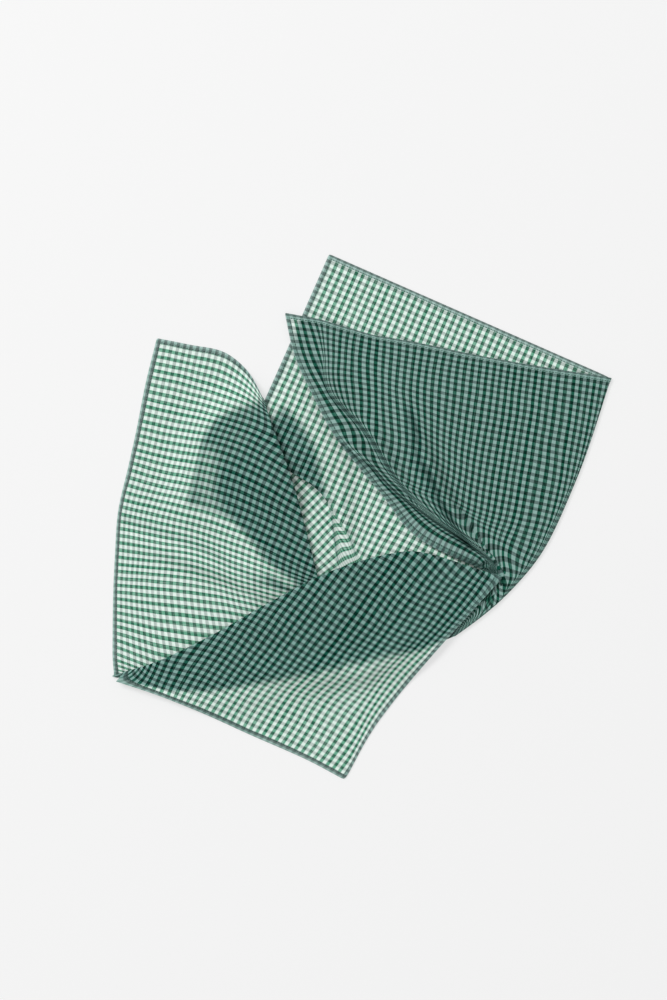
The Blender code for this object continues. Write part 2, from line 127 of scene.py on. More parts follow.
# The tuck and the pleat open out before they reach the main fold: s where each begins to, and s where
# it is flat
OPENS = {"tuck": (194, 262), "left": (194, 262), "pleat": (83, 110), "right": (83, 110)}

# The upper layer. A row starts at the main fold, at the t that is its key, and runs to the CD hem, or
# to the edge fold where the D corner turns down. Where only the end is given, the stations between lie
# evenly.
UPPER_STEPS = (2, 5, 4, 3, 2, 2, 2, 2, 2, 4, 2, 4)
PINCH = 316  # t on the main fold where the edge fold ends and the CD hem begins
UPPER = {
    560: ((274, 560, 216, 122.1), (337, 560, 154, 132), (394, 560, 99, 142), (429, 560, 64, 149.5),
          (450.5, 560, 41.5, 154), (464, 560, 26.5, 156.5), (479.5, 560, 10.5, 159),
          (525, 560, -34, 172.5), (528, 560, -37, 173.1), (546, 560, -53.5, 176.1),
          (549, 560, -56.5, 176.7), (560, 560, -66.5, 178.5)),
    525: ((280.5, 525, 204.9, 89), (332.5, 525, 154.5, 101.5), (389.5, 525, 100, 113),
          (429, 525, 59, 121.5), (450.5, 525, 38, 126), (464, 525, 24.5, 129.5),
          (479.5, 525, 9, 134), (520.5, 525, -30.5, 141), (534.5, 525, -33, 141.2),
          (547, 525, -45.5, 141.6), (550, 525, -48.5, 141.7), (560, 525, -58.5, 142)),
    490: ((287, 490, 193.3, 55.9), (332.5, 490, 149.5, 67), (389.5, 490, 95.5, 79),
          (429, 490, 58, 91), (450.5, 490, 38, 98), (468, 490, 20.5, 103), (483, 490, 6.5, 106),
          (518, 490, -27, 109.5), (546, 490, -29.5, 109.2), (552, 490, -35, 108.4),
          (554.5, 490, -37.5, 108), (560, 490, -42.5, 107)),
    455: ((294.5, 455, 180.8, 23.1), (332.5, 455, 144, 32.5), (389.5, 455, 91, 46.5),
          (424.5, 455, 62.5, 59.5), (437.5, 455, 52, 64), (464, 455, 26.5, 71), (475, 455, 14, 75),
          (484, 455, 4.5, 76.3), (534, 455, 1.8, 76.4), (555.5, 455, -19.8, 74.5),
          (557, 455, -21.5, 74.2), (560, 455, -25, 73.5)),
    420: ((304, 420, 165.2, -8.4), (332.5, 420, 137.5, -2), (385, 420, 91, 12),
          (404, 422.5, 75.5, 22), (416.5, 424.5, 66, 28), (441, 423.5, 45, 33),
          (451, 422.5, 36, 36.5), (461, 422, 26.5, 40), (522, 421.5, 23.8, 41), (537, 421, 9.5, 45),
          (551, 420.5, 7.5, 45.2), (560, 420, 0, 41)),
    381.5: ((310, 384, 147.6, -41.7), (332.5, 385, 128, -30.5), (372, 395.5, 100, -8),
            (386, 404, 87.5, 2.5), (400, 407, 78, 8), (422.5, 402.5, 60.5, 13),
            (433, 400, 52.5, 15.5), (442, 398, 45.5, 17.5), (527.5, 387, 42.8, 18.2),
            (536, 386, 34.5, 19.3), (548, 385, 32.3, 19.3), (560, 382.5, 21, 16)),
    359: ((327, 364.5, 132.4, -58), (336.5, 373.5, 125.5, -46.5), (353.5, 383, 112, -33),
          (368, 393, 101, -19), (378, 393.5, 93, -16), (407, 389.5, 83.5, -12),
          (419, 385, 79, -10.5), (429, 380.5, 74, -9), (470, 366, 73, -8.7), (505, 345, 72, -8.4),
          (538.5, 322, 70, -8.2), (560, 332.5, 47.5, -17.5)),
    339.5: ((336, 347.5, 121, -72.6), (329, 358, 129.5, -64), (330, 369.5, 130.5, -52.5),
            (337, 377, 126, -43), (344.5, 381, 120, -37), (351.5, 383.5, 114, -33),
            (356, 385, 110.5, -31.7), (429, 350, 107.5, -30.5), (470, 325, 106, -30),
            (510, 298, 104.5, -29.7), (545, 278, 102.5, -29.5), (560, 284.5, 88.5, -38.5)),
    326.5: ((345.5, 334.5, 110.5, -82.8), (336, 345, 121, -75), (331.5, 356, 127, -65.5),
            (330.5, 365, 129.5, -57), (331.5, 370.5, 129.5, -51), (334, 374.5, 128, -46.5),
            (337, 376, 127, -45.2), (350, 365, 125.5, -44), (420, 325, 124, -43.4),
            (500, 274, 122.5, -42.8), (546, 254, 121, -42.3), (560, 258, 111.5, -46.5)),
    PINCH: ((354, 325, 101.2, -90), (349.5, 333.5, 107, -83), (346, 342.5, 111.5, -75),
            (343.5, 349, 115, -69), (342, 353.5, 117, -65), (341, 358, 119, -61),
            (340, 359, 119.5, -59.7), (350, 350, 120, -58.5), (400, 320, 120.3, -57.3),
            (470, 280, 120.7, -56), (530, 248, 121.2, -54.5), (560, 241.5, 122, -51.5)),
    293: ((525, 232, 89.5, -41),),
    262.5: ((490, 219, 52, -30.5),),
    228.5: ((468, 205, 23, -32.5),),
    185.5: ((437.5, 166, -26, -47),),
    134: ((408.5, 118, -81, -75),),
    86: ((385, 70, -130, -103),),
    48: ((366, 39.5, -171.5, -123.5),),
    0: ((325.5, 0, -206.5, -135.5),),
}

# The flap, in rows from the edge fold to the CD hem as far as the D corner, and then to the AD hem
FLAP_STEPS = (4, 4, 4, 4, 3, 2)
D_CORNER = 228.5  # the row that ends at the D corner
FLAP = {
    PINCH: ((560, 240, 120.5, -53.5), (560, 238, 119, -55.5), (560, 236, 118, -58),
            (560, 234.5, 116.5, -60), (560, 232, 115, -62), (560, 229, 113, -64.5)),
    293: ((528.5, 221.5, 84, -53.5), (535.5, 205.5, 81.5, -67.5), (542.5, 188, 77, -85),
          (549.5, 170.5, 71, -100.5), (555.5, 155, 66, -112), (560, 144.5, 63, -120)),
    262.5: ((498, 199.5, 45, -53.5), (511, 171.5, 39.5, -84), (525, 140, 35, -113),
            (539, 108.5, 27.5, -135.5), (551, 79.5, 20.5, -160), (560, 61, 15, -179.5)),
    D_CORNER: ((478.5, 179.5, 17, -58.5), (495, 142.5, 9, -99), (513.5, 102.5, 3, -134),
               (532, 61, -3.5, -168), (548.5, 24.5, -9.5, -205.5), (560, 0, -14, -230)),
    185.5: ((447, 146, -30.5, -70), (462, 116.5, -35.5, -103), (478.5, 83, -40, -135.5),
            (495, 50, -43.5, -160), (510, 19, -46, -192.5), (520.5, 0, -48, -212)),
    134: ((415, 103, -84, -88.5), (424.5, 82, -87.5, -111), (436, 58.5, -91.5, -135),
          (447, 35, -94.5, -155), (457, 14, -97, -175), (464, 0, -98, -190)),
    86: ((415.5, 0, -140.5, -170.5),),
    48: ((376, 0, -175, -156.5),),
    0: ((343, 0, -214, -143.5),),
}

# Soft ridges where the cloth stands up: the piece of cloth, its reach to each side, and points (x, y,
# height)
RIDGES = (
    ("left", 15, ((-203.5, -13, 0), (-171.5, -27, 6), (-130, -43, 9), (-86.5, -60.5, 4))),
    ("right", 9, ((-62, 54, 5), (-14, 51, 3))),
    ("right", 6, ((-14, 51, 3), (-12, -2.5, 5), (-8, -34, 1))),
    ("upper", 13, ((38, 126, 1), (38, 98, 2), (52, 64, 6), (66, 28, 8), (78, 8, 9), (93, -16, 6),
                   (114, -33, 1))),
    ("upper", 11, ((6.5, 106, 1), (9, 76, 4), (26.5, 40, 4), (45.5, 17.5, 3), (75.5, -9.5, 2))),
    ("upper", 9, ((-30.5, 141, 1), (-27, 109.5, 4), (-13, 75, 3), (8, 45.5, 5), (31.5, 20, 6),
                  (66, -4.5, 4), (92, -26, 1))),
    ("flap", 17, ((35, -113, 3), (3, -134, 6), (-40, -135.5, 6), (-91.5, -135, 3))),
)

# Tight ends of folds, where the surface is eased: (x, y, reach). Those of the tuck and the pleat are in
# the lower layer alone.
TUCK_ENDS = ((-39, -76, 23), (-29, 13, 14))
NECK_ENDS = ((122, -46, 40), (104, -88, 23))
EASING_ROUNDS = 6

# The height grid on which the layers are laid, in metres
CELL = 2 * MM
GRID_CORNER = (-0.26, -0.27)
GRID_CELLS = (260, 270)


def smooth_line(knots, values, at):
    """A smooth line through stations at uneven knots. Its s and t never run past a station's own."""
    step = np.diff(knots)[:, None]
    slope = np.diff(values, axis=0) / step
    before = slope[:-1]
    after = slope[1:]
    tangent = np.empty_like(values)
    tangent[0] = slope[0]
    tangent[-1] = slope[-1]
    tangent[1:-1] = (before * step[1:] + after * step[:-1]) / (step[1:] + step[:-1])
    rising = before * after > 0
    steady = np.where(rising, 2 * before * after / np.where(rising, before + after, 1), 0)
    tangent[1:-1, :2] = steady[:, :2]
    i = np.clip(np.searchsorted(knots, at, side="right") - 1, 0, len(knots) - 2)
    u = ((at - knots[i]) / step[i, 0])[:, None]
    start = (2 * u**3 - 3 * u**2 + 1) * values[i] + (u**3 - 2 * u**2 + u) * step[i] * tangent[i]
    end = (3 * u**2 - 2 * u**3) * values[i + 1] + (u**3 - u**2) * step[i] * tangent[i + 1]
    return start + end


def smooth_parts(knots, values, at, corner):
    """smooth_line in two parts, with a corner kept sharp where they meet."""
    out = np.empty((len(at), values.shape[1]))
    for part, wanted in ((knots <= corner, at <= corner), (knots >= corner, at > corner)):
        out[wanted] = smooth_line(knots[part], values[part], at[wanted])
    return out


def divide(knots, counts):
    """The knots, with each span between them divided evenly into its count."""
    spans = [np.linspace(a, b, n, endpoint=False) for a, b, n in zip(knots[:-1], knots[1:], counts)]
    return np.append(np.concatenate(spans), knots[-1])


def across(row, counts, folded_start, folded_end):
    """Points along one row of stations, drawn in at each end that goes round a fold."""
    length = np.append(0, np.cumsum(np.hypot(*np.diff(row[:, 2:4], axis=0).T)))
    reach = min(FOLD_REACH * MM, 0.25 * length[-1])
    start = reach * folded_start
    along = start + divide(length, counts) * (length[-1] - start - reach * folded_end) / length[-1]
    if len(row) == 2:
        return row[0] + (row[1] - row[0]) * (along / length[-1])[:, None]
    return smooth_line(length, row, along)


def in_metres(rows):
    """A table's millimetres as metres."""
    return np.array(rows, float) * MM


def stations(table, edge, counts):
    """A table's rows as points in metres. A row with one station is filled evenly from the edge."""
    keys = np.array(sorted(table), float)
    rows = []
    for key in sorted(table):
        given = in_metres(table[key])
        if len(given) == 1:
            u = (np.arange(len(counts)) + 1)[:, None] / len(counts)
            given = edge(key) * (1 - u) + given * u
        rows.append(given)
    return keys * MM, np.array(rows)


def flat_right(s, t):
    """Where the right-hand face's point (s, t) lies."""
    down = SIDE - t
    x = B_CORNER[0] + s * math.cos(B_TURN) - down * math.sin(B_TURN)
    y = B_CORNER[1] - s * math.sin(B_TURN) - down * math.cos(B_TURN)
    return (s, t, x, y)


def spread(grid, reach, combine):
    """Combines each cell of a height grid with its neighbours within reach."""
    n = round(reach * MM / CELL / 2)
    moved = [
        np.roll(grid, (dy, dx), (0, 1))
        for dy in range(-n, n + 1)
        for dx in range(-n, n + 1)
        if dx * dx + dy * dy <= n * n + 1
    ]
    return combine(np.array(moved), axis=0)


def read_grid(grid, x, y):
    """A height grid's value between its cells."""
    fx = np.clip((x - GRID_CORNER[0]) / CELL, 0, GRID_CELLS[0] - 1.001)
    fy = np.clip((y - GRID_CORNER[1]) / CELL, 0, GRID_CELLS[1] - 1.001)
    ix = fx.astype(int)
    iy = fy.astype(int)
    near = grid[iy, ix] * (1 - fx + ix) + grid[iy, ix + 1] * (fx - ix)
    far = grid[iy + 1, ix] * (1 - fx + ix) + grid[iy + 1, ix + 1] * (fx - ix)
    return near * (1 - fy + iy) + far * (fy - iy)


def ridge_height(piece, x, y):
    """How far the ridges of one piece of cloth lift it."""
    lift = np.zeros_like(x)
    for name, reach, points in RIDGES:
        if name != piece:
            continue
        p = in_metres(points)
        for start, run in zip(p[:-1], np.diff(p, axis=0)):
            u = ((x - start[0]) * run[0] + (y - start[1]) * run[1]) / (run[:2] @ run[:2])
            u = np.clip(u, 0, 1)
            away = np.hypot(x - start[0] - u * run[0], y - start[1] - u * run[1])
            bump = np.cos(np.clip(away / (reach * MM), 0, 1) * math.pi / 2) ** 2
            lift = np.maximum(lift, (start[2] + run[2] * u) * bump)
    return lift


def lay(pile, points, piece, opening=1):
    """Lays a piece of cloth on the pile: gives its points heights, and raises the pile by them."""
    base = np.where(pile < 0, CLOTH / 2 * MM, pile + LAYER * MM)
    base = spread(spread(base, CLEAR_REACH * 2, np.max), SOFTENING * 2, np.mean)
    floor = CLOTH / 2 * MM
    x = points[..., 2]
    y = points[..., 3]
    z = floor + (read_grid(base, x, y) - floor) * opening + ridge_height(piece, x, y)
    fine = np.stack([x, y, z], axis=-1)
    for _ in range(3):
        fine = np.repeat(fine, 2, axis=0)[:-1]
        fine[1::2] = (fine[0:-1:2] + fine[2::2]) / 2
        fine = np.repeat(fine, 2, axis=1)[:, :-1]
        fine[:, 1::2] = (fine[:, 0:-1:2] + fine[:, 2::2]) / 2
    ix = np.round((fine[..., 0] - GRID_CORNER[0]) / CELL).astype(int)
    iy = np.round((fine[..., 1] - GRID_CORNER[1]) / CELL).astype(int)
    np.maximum.at(pile, (iy, ix), fine[..., 2])
    return np.concatenate([points[..., :4], z[..., None]], axis=-1)


def fold(under, over, edge):
    """The points round a fold's edge, between the two layers that it joins."""
    out = []
    for angle in np.radians(FOLD_STEPS):
        near = under if angle < 0 else over
        over_share = (1 + math.sin(angle)) / 2
        point = edge[:, :4] + (near[:, :4] - edge[:, :4]) * (1 - math.cos(angle))
        height = under[:, 4] * (1 - over_share) + over[:, 4] * over_share
        out.append(np.column_stack([point, height]))
    return np.stack(out, axis=1)


def near_ends(grid, ends):
    """How strongly each point is eased: fully near an end, and not at all past its reach."""
    weight = np.zeros(grid.shape[:2])
    for x, y, reach in ends:
        away = np.hypot(grid[..., 2] - x * MM, grid[..., 3] - y * MM) / (reach * MM)
        weight = np.maximum(weight, np.clip(1.4 - 1.4 * away, 0, 1) / 2)
    return weight


def ease(grid, weight):
    """Evens out the surface by its weight."""
    weight = weight[..., None]
    for _ in range(EASING_ROUNDS):
        near = grid.copy()
        inner = grid[:-2, 1:-1] + grid[2:, 1:-1] + grid[1:-1, :-2] + grid[1:-1, 2:]
        near[1:-1, 1:-1] = inner / 4
        for side in (0, -1):
            near[side, 1:-1] = (grid[side, :-2] + grid[side, 2:]) / 2
            near[1:-1, side] = (grid[:-2, side] + grid[2:, side]) / 2
        grid = grid + weight * (near - grid) * (0, 0, 1, 1, 1)
    return grid


def lower_layer(pile):
    """The lower layer as one grid, and the edge line of the main fold."""
    rows = []
    for left, right in zip(LOWER, RIGHT):
        rows.append(left + tuple(flat_right(s, t) for s, t in right))
    table = in_metres(rows)
    rows_at = divide(np.array(LOWER_ROWS, float), LOWER_STEPS)
    knots = np.array(LOWER_ROWS, float)
    every = range(len(LOWER_COLUMNS))
    dense = np.stack([smooth_line(knots, table[:, c], rows_at) for c in every], axis=1)
    names = list(FACES)
    faces = {}
    for name in LAYING_ORDER:
        columns, counts = FACES[name]
        picked = dense[:, [LOWER_COLUMNS.index(c) for c in columns]]
        folded = (name != names[0], name != names[-1])
        points = np.array([across(row, counts, *folded) for row in picked])
        opening = np.interp(rows_at, OPENS[name], (1, 0)) if name in OPENS else np.ones(len(rows_at))
        faces[name] = lay(pile, points, name, opening[:, None])
    strips = [faces[names[0]]]
    for before, after in zip(names[:-1], names[1:]):
        edge = dense[:, LOWER_COLUMNS.index(FACES[after][0][0])]
        strips += [fold(faces[before][:, -1], faces[after][:, 0], edge), faces[after]]
    return np.concatenate(strips, axis=1)


def rows_along(table, edge_line, edge_key, counts, corner):
    """A table's rows, made as dense as the line of points that they start from."""
    def edge(key):
        return np.array([np.interp(key * MM, edge_key, edge_line[:, k]) for k in range(4)])

    keys, values = stations(table, edge, counts)
    inner = [smooth_parts(keys, values[:, c], edge_key, corner * MM) for c in range(values.shape[1])]
    return np.stack([edge_line[:, :4]] + inner, axis=1)


def bandana_points():
    """The middle surface of the cloth: the lower and upper layers as one grid, and the flap."""
    pile = np.full((GRID_CELLS[1], GRID_CELLS[0]), -1.0)
    lower = lower_layer(pile)
    main = lower[-1].copy()
    key = main[:, 1]
    pinch = np.searchsorted(key, PINCH * MM - 1e-9)
    rows = rows_along(UPPER, main, key, UPPER_STEPS, PINCH)
    drawn = [across(row, UPPER_STEPS, True, i <= pinch) for i, row in enumerate(rows)]
    upper = lay(pile, np.array(drawn), "upper")
    edge = rows[:pinch + 1, -1]
    flap_rows = rows_along(FLAP, edge, key[:pinch + 1], FLAP_STEPS, D_CORNER)
    flap = lay(pile, np.array([across(row, FLAP_STEPS, True, False) for row in flap_rows]), "flap")
    lower[-1, :, :4] = upper[:, 0, :4]
    layers = np.concatenate([lower, fold(lower[-1], upper[:, 0], main).transpose(1, 0, 2),
                             upper.transpose(1, 0, 2)])
    weight = near_ends(layers, NECK_ENDS)
    weight[:len(lower)] = np.maximum(weight[:len(lower)], near_ends(lower, TUCK_ENDS))
    layers = ease(layers, weight)
    upper_edge = layers[-1, :pinch + 1]
    turned = np.concatenate([upper_edge[:, None], fold(upper_edge, flap[:, 0], edge), flap], axis=1)
    turned = turned.transpose(1, 0, 2)
    weight = near_ends(turned, NECK_ENDS)
    weight[0] = 0
    return layers, ease(turned, weight)


# The hem is turned over twice, so it is thicker than the single cloth. Sizes are in mm.
FINER = 1  # subdivisions of the surface
HEM = 4.2  # its width
HEM_STEP = 0.8  # over which it falls to the single cloth
HEM_LINES = 2  # lines of points added beside each edge: at the hem's inner edge, and past the step
HEM_LEAST = 0.08  # share of the way to the next line, where each of these may lie
HEM_MOST = (0.45, 0.6)
HEM_THICKNESS = 0.9
THIN = 0.4  # share of that thickness that the single cloth has
SAME_POINT = 1e-6  # in m, where two grids are joined


def with_hem(lines, inner):
    """Adds two lines of points beside the first, at the hem's inner edge. inner is how far in from
    the edge of the cloth the second line lies."""
    added = []
    for distance, most in zip((HEM, HEM + HEM_STEP), HEM_MOST):
        share = np.clip(distance * MM / np.maximum(inner, SAME_POINT), HEM_LEAST, most)[:, None]
        added.append(lines[0] + (lines[1] - lines[0]) * share)
    return np.concatenate([lines[:1], np.array(added), lines[1:]])


def add_layer(bm, uv, piece_at, points, pieces):
    """A grid of quads with its corners at the points, and the flat cloth as its UV map."""
    rows, columns = points.shape[:2]
    grid = bmesh.ops.create_grid(bm, x_segments=columns - 1, y_segments=rows - 1, size=1)
    flat = {}
    piece_of_each = np.repeat(pieces, columns)
    for vert, point, piece in zip(grid["verts"], points.reshape(-1, 5), piece_of_each):
        vert.co = point[2:]
        vert[piece_at] = piece
        flat[vert] = point[:2] / (SIDE * MM)
    for face in bm.faces:
        for loop in face.loops:
            if loop.vert in flat:
                loop[uv].uv = flat[loop.vert]


side = SIDE * MM
layers, turned = bandana_points()
layers = with_hem(layers, layers[1, :, 0])
layers = with_hem(layers[::-1], side - layers[-2, :, 0])[::-1]
turned = with_hem(turned[::-1], np.minimum(side - turned[-2, :, 0], turned[-2, :, 1]))[::-1]
layers = layers.transpose(1, 0, 2)
layers = with_hem(layers, layers[1, :, 1])
layers = with_hem(layers[::-1], side - layers[-2, :, 1])[::-1].transpose(1, 0, 2)
turned = turned.transpose(1, 0, 2)
turned = with_hem(turned, turned[1, :, 1]).transpose(1, 0, 2)

bm = bmesh.new()
uv = bm.loops.layers.uv.new("flat cloth")
piece_at = bm.verts.layers.float.new("layer")
lower_rows = sum(LOWER_STEPS) + 1 + HEM_LINES
main_fold = (lower_rows - 0.5, lower_rows + len(FOLD_STEPS) + 0.5)
flap_fold = (0, len(FOLD_STEPS) + 1)
add_layer(bm, uv, piece_at, layers, np.interp(np.arange(len(layers)), main_fold, (0, 1)))
add_layer(bm, uv, piece_at, turned, np.interp(np.arange(len(turned)), flap_fold, (1, 2)))
bmesh.ops.remove_doubles(bm, verts=bm.verts, dist=SAME_POINT)
bmesh.ops.recalc_face_normals(bm, faces=bm.faces)
rough_mesh = bpy.data.meshes.new("bandana_rough")
bm.to_mesh(rough_mesh)
bm.free()
rough = bpy.data.objects.new("bandana_rough", rough_mesh)
bpy.context.collection.objects.link(rough)
smooth = rough.modifiers.new("smooth", "SUBSURF")
smooth.levels = FINER
smooth.render_levels = FINER
bpy.context.view_layer.update()
smoothed = rough.evaluated_get(bpy.context.evaluated_depsgraph_get())
cloth_mesh = bpy.data.meshes.new_from_object(smoothed)
cloth_mesh.name = "bandana_cloth"
bpy.data.objects.remove(rough)

# How much cloth lies under each point, which takes the light from it
RAY_START = 0.4 * MM  # under the point, to clear its own layer
RAY_PAST = 0.2 * MM  # under each layer that is met
MOST_LAYERS = 2
SHADE_BELOW = (0, 0.93, 1)  # for none, one and two layers underneath
SOFTER = 2  # rounds of smoothing

points = np.array([v.co for v in cloth_mesh.vertices])
below = BVHTree.FromPolygons(points.tolist(), [p.vertices for p in cloth_mesh.polygons])
under = np.zeros(len(points))
for i, point in enumerate(points):
    start = Vector(point)
    start.z -= RAY_START
    while under[i] < MOST_LAYERS:
        start = below.ray_cast(start, Vector((0, 0, -1)))[0]
        if start is None:
            break
        under[i] += 1
        start.z -= RAY_PAST
edges = np.array([e.vertices for e in cloth_mesh.edges])
shade = np.interp(under, range(MOST_LAYERS + 1), SHADE_BELOW)
count = np.bincount(edges.ravel(), minlength=len(points))
for _ in range(SOFTER):
    total = np.bincount(edges[:, 0], shade[edges[:, 1]], len(points))
    total += np.bincount(edges[:, 1], shade[edges[:, 0]], len(points))
    shade = (shade + total / count) / 2

# Creases narrower than the solid's ridges. Each has its layer, how far its rise reaches to the left and
# to the right looking along its line, how far its painted shade does, the painted shade's depth, which
# is below zero where the cloth is painted paler, and its points (x, y, height), in mm.
CREASE_SHARPNESS = 1.3
PIECES = {"lower": 0, "upper": 1, "flap": 2}
CREASES = (
    ("upper", (9, 1.6), (0.5, 3.5), 0.9, ((-37, 135, 0), (-33, 122, 1.2), (-28, 107, 2),
                                          (-10, 91, 2.2), (4, 76, 2.2), (16, 59, 2.2), (26, 41, 2),
                                          (38, 25, 1.5), (45, 17, 0.5))),
    ("upper", (8, 1.4), (0.5, 4), 1.2, ((-30, 77, 0), (-16, 64, 1), (0, 50, 1.8), (8.5, 45, 2),
                                        (33.5, 19.5, 2.4), (60, 0, 2.6), (80, -13.5, 2.6),
                                        (103, -29.5, 2), (118, -40, 0.5))),
    ("upper", (12, 2.5), (0.5, 9), 1.3, ((46, 88, 0), (50, 75, 1), (50, 65, 2), (52, 55, 2.6),
                                         (58, 43, 3), (63, 33, 3.2), (70, 17, 3.2), (77, 3, 3),
                                         (85, -10, 2.4), (95, -23, 0.5))),
    # a painted shadow alone, cast by the flap's edge onto the upper layer
    ("upper", (1, 1), (6, 6), 1.4, ((34, -21, 0), (50, -26, 0), (60, -30, 0), (80, -36, 0),
                                    (100, -41, 0), (118, -48, 0))),
    ("lower", (8, 8), (7, 5), 0.3, ((-206, -3, 0), (-180, -12, 1), (-144, -24, 1.6),
                                    (-110, -42, 1.2), (-90, -58, 0.3))),
    # these two paint light: they only make the painted shade of the layers beneath paler
    ("lower", (1, 1), (14, 14), -0.5, ((-134, 52, 0), (-136, 20, 0), (-122, -10, 0),
                                       (-104, -32, 0))),
    ("lower", (1, 1), (6, 6), -1.1, ((-96, -34, 0), (-82, -44, 0), (-62, -58, 0))),
    ("lower", (3, 2.5), (1.2, 1.2), 0.8, ((-27, 17, 0), (-25.5, 8, 1.2), (-25.5, -2, 1.4),
                                          (-24, -14, 1.4), (-20, -40, 0))),
    ("lower", (2.5, 3), (1.2, 1.2), 0.8, ((-12, 46, 0), (-15, 25, 1.4), (-16, 15, 1.6),
                                          (-14, 0, 1.6), (-11, -15, 1.4), (-4, -34, 0))),
)
points = np.array([v.co for v in cloth_mesh.vertices])
piece_of = np.zeros(len(points))
cloth_mesh.attributes["layer"].data.foreach_get("value", piece_of)
for name, rises, darks, depth, line in CREASES:
    line = in_metres(line)
    best = np.full(len(points), np.inf)
    rise = np.zeros(len(points))
    dark = np.zeros(len(points))
    for start, run in zip(line[:-1], np.diff(line, axis=0)):
        offset = points[:, :2] - start[:2]
        u = np.clip(offset @ run[:2] / (run[:2] @ run[:2]), 0, 1)
        away = np.hypot(*(offset - u[:, None] * run[:2]).T)
        on_left = run[0] * offset[:, 1] - run[1] * offset[:, 0] > 0
        reach = np.where(on_left, *rises) * MM
        shaded = np.where(on_left, *darks) * MM
        nearer = away < best
        best = np.where(nearer, away, best)
        slope = np.clip(1 - away / reach, 0, 1) ** CREASE_SHARPNESS
        rise = np.where(nearer, (start[2] + run[2] * u) * slope, rise)
        dark = np.where(nearer, np.clip(1 - away / shaded, 0, 1), dark)
    here = np.clip(1 - np.abs(piece_of - PIECES[name]) * 2, 0, 1)
    points[:, 2] += rise * here
    # painted shade beside each crease, or painted light where its depth is below zero, added to the
    # shade below
    shade += dark * depth * here
cloth_mesh.vertices.foreach_set("co", points.ravel())
cloth_mesh.attributes.new("shade below", "FLOAT", "POINT").data.foreach_set("value", shade)

# Placed by the frame's box
low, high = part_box("bandana")
middle = (points.min(axis=0) + points.max(axis=0)) / 2
lift = HEM_THICKNESS * MM / 2
shift = Vector(((low[0] + high[0]) / 2 - middle[0], (low[1] + high[1]) / 2 - middle[1],
                low[2] + lift - points[:, 2].min()))
for vert in cloth_mesh.vertices:
    vert.co += shift
cloth_mesh.shade_smooth()

cloth = bpy.data.objects.new("bandana_cloth", cloth_mesh)
bpy.context.collection.objects.link(cloth)
flat = np.empty(len(cloth_mesh.loops) * 2)
cloth_mesh.uv_layers["flat cloth"].data.foreach_get("uv", flat)
corner_of = np.empty(len(cloth_mesh.loops), int)
cloth_mesh.loops.foreach_get("vertex_index", corner_of)
place = np.zeros((len(points), 2))
HEM_SLACK = 0.1  # so that the line at the hem's inner edge counts as hem
place[corner_of] = flat.reshape(-1, 2) * SIDE
from_hem = np.minimum(place, SIDE - place).min(axis=1)
thick = np.interp(from_hem, (HEM - HEM_SLACK, HEM + HEM_STEP), (1, 0))
hem_group = cloth.vertex_groups.new(name="hem")
for i, weight in enumerate(thick):
    hem_group.add([i], weight, "REPLACE")
thickness = cloth.modifiers.new("thickness", "SOLIDIFY")
thickness.thickness = HEM_THICKNESS * MM
thickness.offset = 0
thickness.vertex_group = "hem"
thickness.thickness_vertex_group = THIN


class Wire:
    """A value or colour on its way through a material's nodes. Sums on it add Math nodes."""

    def __init__(self, tree, output=None):
        self.tree = tree
        self.output = output

    def node(self, kind, settings=None, sockets=None, output=0):
        """Adds a node, sets it, fills or links its sockets, and gives one of its outputs."""
        made = self.tree.nodes.new(kind)
        for name, value in (settings or {}).items():
            setattr(made, name, value)
        for name, value in (sockets or {}).items():
            if isinstance(value, Wire):
                self.tree.links.new(value.output, made.inputs[name])
            else:
                made.inputs[name].default_value = value
        return Wire(self.tree, made.outputs[output] if made.outputs else None)

    def maths(self, operation, *values, clamp=False):
        """Adds a Math node on these values."""
        settings = {"operation": operation, "use_clamp": clamp}
        return self.node("ShaderNodeMath", settings, dict(enumerate(values)))

    def __add__(self, other):
        return self.maths("ADD", self, other)

    def __radd__(self, other):
        return self.maths("ADD", other, self)

    def __sub__(self, other):
        return self.maths("SUBTRACT", self, other)

    def __rsub__(self, other):
        return self.maths("SUBTRACT", other, self)

    def __mul__(self, other):
        return self.maths("MULTIPLY", self, other)

    def __rmul__(self, other):
        return self.maths("MULTIPLY", other, self)

    def __truediv__(self, other):
        return self.maths("DIVIDE", self, other)


# Yarn-dyed in an even check: stripes of saturated green along the AB hem, and greyer ones across them.
# The colours are those of one layer against the bright floor, and a darker copy of them for one that
# lies on others: painted shade for the light that the layers beneath take from it.
# Lengths are in mm on the flat cloth.
GREEN_REPEAT = 6.3
GREY_REPEAT = 5.8
EDGE_SOFTNESS = 0.3  # how far a stripe's edge blurs
THREAD = 0.36  # from one thread to the next
OWN_STRENGTH = 0.4  # how far the threads differ from each other
SLUBS = 0.7  # how far a thread differs along its length
SLUB_STRETCH = (3, 0.12)  # of their noise across the thread and along it
DYE_ON_WHITE = 0.2  # share of those differences that shows in the white threads
WAVER = 1.2  # how far the stripes waver
WAVER_SCALE = 0.03
WAVER_SHIFT = 300  # so that the two ways waver differently
ON_FLOOR = {"white": (0.85, 0.99, 0.92), "green": (0.125, 0.40, 0.26), "grey": (0.46, 0.55, 0.51),
            "crossing": (0.018, 0.105, 0.062)}
# painted shade: the same check, darkened for cloth that lies on other layers
SHADED_ON_CLOTH = {"white": (0.24, 0.41, 0.37), "green": (0.007, 0.085, 0.056), "grey": (0.085, 0.145, 0.135),
            "crossing": (0.0, 0.012, 0.008)}
